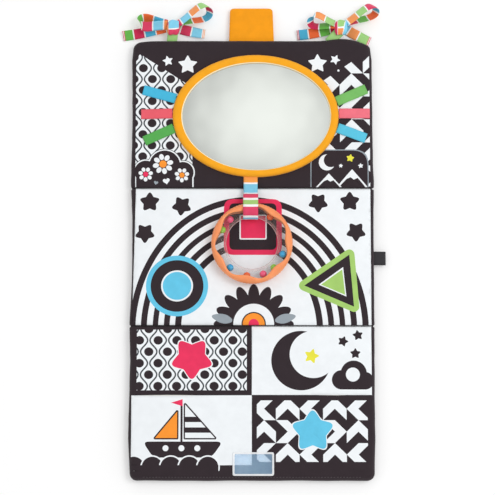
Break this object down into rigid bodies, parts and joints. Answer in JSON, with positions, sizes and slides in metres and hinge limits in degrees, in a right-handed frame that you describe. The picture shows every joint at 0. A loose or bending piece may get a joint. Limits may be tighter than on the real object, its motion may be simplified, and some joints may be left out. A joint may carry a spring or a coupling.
{
  "type": "baby sensory mirror",
  "caption": "Padded cloth play panel in folding sections, with an oval mirror, ribbon tags, a ring rattle on a strap, ribbon ties and a fastening tab.",
  "frame": {"origin": "middle of the flat back of the middle section", "axes": "+Y up the panel towards the tab and the ties, +Z out of the printed front, +X to the right as seen from the front"},
  "size_m": [0.3081, 0.5549, 0.037],
  "materials": {
    "printed_cloth": "smooth woven cloth with a printed pattern",
    "black_cloth": "matt woven cloth",
    "wadding": "soft wadding",
    "board": "plain",
    "mirror": "polished",
    "orange_cloth": "smooth woven cloth",
    "blue_ribbon": "satin ribbon",
    "pink_ribbon": "satin ribbon",
    "green_ribbon": "satin ribbon",
    "striped_ribbon": "satin ribbon with colour blocks",
    "soft_patch": "napped fastener",
    "clear_pad": "translucent fastener",
    "label_ribbon": "woven label",
    "clear_plastic": "clear gloss",
    "soft_grip": "soft satin",
    "orange_bead": "gloss",
    "pink_bead": "gloss",
    "green_bead": "gloss",
    "blue_bead": "gloss"
  },
  "bodies": {
    "middle_section": {"middle_front_cover": "printed_cloth", "middle_back_cover": "black_cloth", "middle_padding": "wadding", "middle_stiffener": "board", "upper_crease_seam": "black_cloth", "lower_crease_seam": "black_cloth"},
    "top_section": {"top_front_cover": "printed_cloth", "top_back_cover": "black_cloth", "top_padding": "wadding", "top_stiffener": "board", "mirror_backing": "wadding", "mirror_sheet": "mirror", "mirror_rim": "orange_cloth"},
    "bottom_section": {"bottom_front_cover": "printed_cloth", "bottom_back_cover": "black_cloth", "bottom_padding": "wadding", "bottom_stiffener": "board", "fastener_pad": "clear_pad"},
    "tab": {"tab": "orange_cloth", "tab_patch": "soft_patch"},
    "strap": {"strap": "striped_ribbon"},
    "strap_loop": {"strap_loop": "striped_ribbon"},
    "ring": {"ring_front": "clear_plastic", "ring_back": "clear_plastic", "ring_grip": "soft_grip"},
    "bead_orange_upper": {"bead_orange_upper": "orange_bead"},
    "bead_pink_left": {"bead_pink_left": "pink_bead"},
    "bead_green_left": {"bead_green_left": "green_bead"},
    "bead_blue_left": {"bead_blue_left": "blue_bead"},
    "bead_orange_lower": {"bead_orange_lower": "orange_bead"},
    "bead_pink_lower": {"bead_pink_lower": "pink_bead"},
    "bead_green_lower": {"bead_green_lower": "green_bead"},
    "bead_blue_right": {"bead_blue_right": "blue_bead"},
    "tag_left_blue": {"tag_left_blue": "blue_ribbon"},
    "tag_left_pink": {"tag_left_pink": "pink_ribbon"},
    "tag_left_green": {"tag_left_green": "green_ribbon"},
    "tag_right_green": {"tag_right_green": "green_ribbon"},
    "tag_right_pink": {"tag_right_pink": "pink_ribbon"},
    "tag_right_blue": {"tag_right_blue": "blue_ribbon"},
    "side_label": {"side_label": "label_ribbon"},
    "left_tie": {"left_tie_knot": "striped_ribbon", "left_tie_root": "striped_ribbon", "left_tie_loop_left": "striped_ribbon", "left_tie_loop_right": "striped_ribbon"},
    "left_tie_tail_left": {"left_tie_tail_left": "striped_ribbon"},
    "left_tie_tail_right": {"left_tie_tail_right": "striped_ribbon"},
    "right_tie": {"right_tie_knot": "striped_ribbon", "right_tie_root": "striped_ribbon", "right_tie_loop_left": "striped_ribbon", "right_tie_loop_right": "striped_ribbon"},
    "right_tie_tail_left": {"right_tie_tail_left": "striped_ribbon"},
    "right_tie_tail_right": {"right_tie_tail_right": "striped_ribbon"}
  },
  "joints": [
    {"name": "top_fold", "type": "hinge", "parent": "middle_section", "child": "top_section", "pos_m": [0, 0.08, 0.0065], "axis": [-1, 0, 0], "range_deg": [0, 110]},
    {"name": "bottom_fold", "type": "hinge", "parent": "middle_section", "child": "bottom_section", "pos_m": [0, -0.08, 0.0065], "axis": [1, 0, 0], "range_deg": [0, 121]},
    {"name": "tab_bend", "type": "hinge", "parent": "top_section", "child": "tab", "pos_m": [0, 0.2545, 0.0065], "axis": [-1, 0, 0], "range_deg": [0, 88]},
    {"name": "strap_lift", "type": "hinge", "parent": "top_section", "child": "strap", "pos_m": [0, 0.0904, 0.0149], "axis": [-1, 0, 0], "range_deg": [0, 95]},
    {"name": "loop_lift", "type": "hinge", "parent": "strap", "child": "strap_loop", "pos_m": [0, 0.0719, 0.023], "axis": [-1, 0, 0], "range_deg": [0, 60]},
    {"name": "ring_turn", "type": "hinge", "parent": "strap_loop", "child": "ring", "pos_m": [0, 0.0135, 0.026], "axis": [0, 0, 1], "continuous": true},
    {"name": "beads_run", "type": "hinge", "parent": "ring", "child": "bead_orange_upper", "pos_m": [0, 0.0135, 0.026], "axis": [0, 0, 1], "continuous": true},
    {"name": "pink_left_run", "type": "hinge", "parent": "bead_orange_upper", "child": "bead_pink_left", "pos_m": [0, 0.0135, 0.026], "axis": [0, 0, 1], "range_deg": [-31, 5]},
    {"name": "green_left_run", "type": "hinge", "parent": "bead_orange_upper", "child": "bead_green_left", "pos_m": [0, 0.0135, 0.026], "axis": [0, 0, 1], "range_deg": [-5, 29]},
    {"name": "blue_left_run", "type": "hinge", "parent": "bead_orange_upper", "child": "bead_blue_left", "pos_m": [0, 0.0135, 0.026], "axis": [0, 0, 1], "range_deg": [-29, 9]},
    {"name": "orange_lower_run", "type": "hinge", "parent": "bead_orange_upper", "child": "bead_orange_lower", "pos_m": [0, 0.0135, 0.026], "axis": [0, 0, 1], "range_deg": [-9, 7]},
    {"name": "pink_lower_run", "type": "hinge", "parent": "bead_orange_upper", "child": "bead_pink_lower", "pos_m": [0, 0.0135, 0.026], "axis": [0, 0, 1], "range_deg": [-7, 4]},
    {"name": "green_lower_run", "type": "hinge", "parent": "bead_orange_upper", "child": "bead_green_lower", "pos_m": [0, 0.0135, 0.026], "axis": [0, 0, 1], "range_deg": [-4, 7]},
    {"name": "blue_right_run", "type": "hinge", "parent": "bead_orange_upper", "child": "bead_blue_right", "pos_m": [0, 0.0135, 0.026], "axis": [0, 0, 1], "range_deg": [-7, 30]},
    {"name": "tag_left_blue_lift", "type": "hinge", "parent": "top_section", "child": "tag_left_blue", "pos_m": [-0.08998, 0.18558, 0.0149], "axis": [0.2656, 0.9641, 0], "range_deg": [0, 80]},
    {"name": "tag_left_pink_lift", "type": "hinge", "parent": "top_section", "child": "tag_left_pink", "pos_m": [-0.09385, 0.1671, 0.0149], "axis": [0, 1, 0], "range_deg": [0, 80]},
    {"name": "tag_left_green_lift", "type": "hinge", "parent": "top_section", "child": "tag_left_green", "pos_m": [-0.09185, 0.14957, 0.0149], "axis": [-0.4035, 0.915, 0], "range_deg": [0, 80]},
    {"name": "tag_right_green_lift", "type": "hinge", "parent": "top_section", "child": "tag_right_green", "pos_m": [0.09989, 0.18242, 0.0149], "axis": [0.3987, -0.9171, 0], "range_deg": [0, 80]},
    {"name": "tag_right_pink_lift", "type": "hinge", "parent": "top_section", "child": "tag_right_pink", "pos_m": [0.10262, 0.1676, 0.0149], "axis": [0, -1, 0], "range_deg": [0, 80]},
    {"name": "tag_right_blue_lift", "type": "hinge", "parent": "top_section", "child": "tag_right_blue", "pos_m": [0.10079, 0.15007, 0.0149], "axis": [-0.3518, -0.9361, 0], "range_deg": [0, 80]},
    {"name": "label_lift", "type": "hinge", "parent": "middle_section", "child": "side_label", "pos_m": [0.14, -0.0013, 0.0065], "axis": [0, -1, 0], "range_deg": [0, 80]},
    {"name": "left_tie_lift", "type": "hinge", "parent": "top_section", "child": "left_tie", "pos_m": [-0.0945, 0.2545, 0.0065], "axis": [1, 0, 0], "range_deg": [0, 90]},
    {"name": "left_tie_left_tail_drop", "type": "hinge", "parent": "left_tie", "child": "left_tie_tail_left", "pos_m": [-0.0945, 0.27, 0.0053], "axis": [0.2205, -0.9754, 0], "range_deg": [0, 40]},
    {"name": "left_tie_right_tail_drop", "type": "hinge", "parent": "left_tie", "child": "left_tie_tail_right", "pos_m": [-0.0905, 0.2695, 0.0053], "axis": [0.2211, 0.9753, 0], "range_deg": [0, 40]},
    {"name": "right_tie_lift", "type": "hinge", "parent": "top_section", "child": "right_tie", "pos_m": [0.097, 0.2545, 0.0065], "axis": [1, 0, 0], "range_deg": [0, 90]},
    {"name": "right_tie_left_tail_drop", "type": "hinge", "parent": "right_tie", "child": "right_tie_tail_left", "pos_m": [0.102, 0.269, 0.0053], "axis": [0.2212, -0.9752, 0], "range_deg": [0, 40]},
    {"name": "right_tie_right_tail_drop", "type": "hinge", "parent": "right_tie", "child": "right_tie_tail_right", "pos_m": [0.1065, 0.2695, 0.0053], "axis": [0.359, 0.9333, 0], "range_deg": [0, 40]}
  ]
}
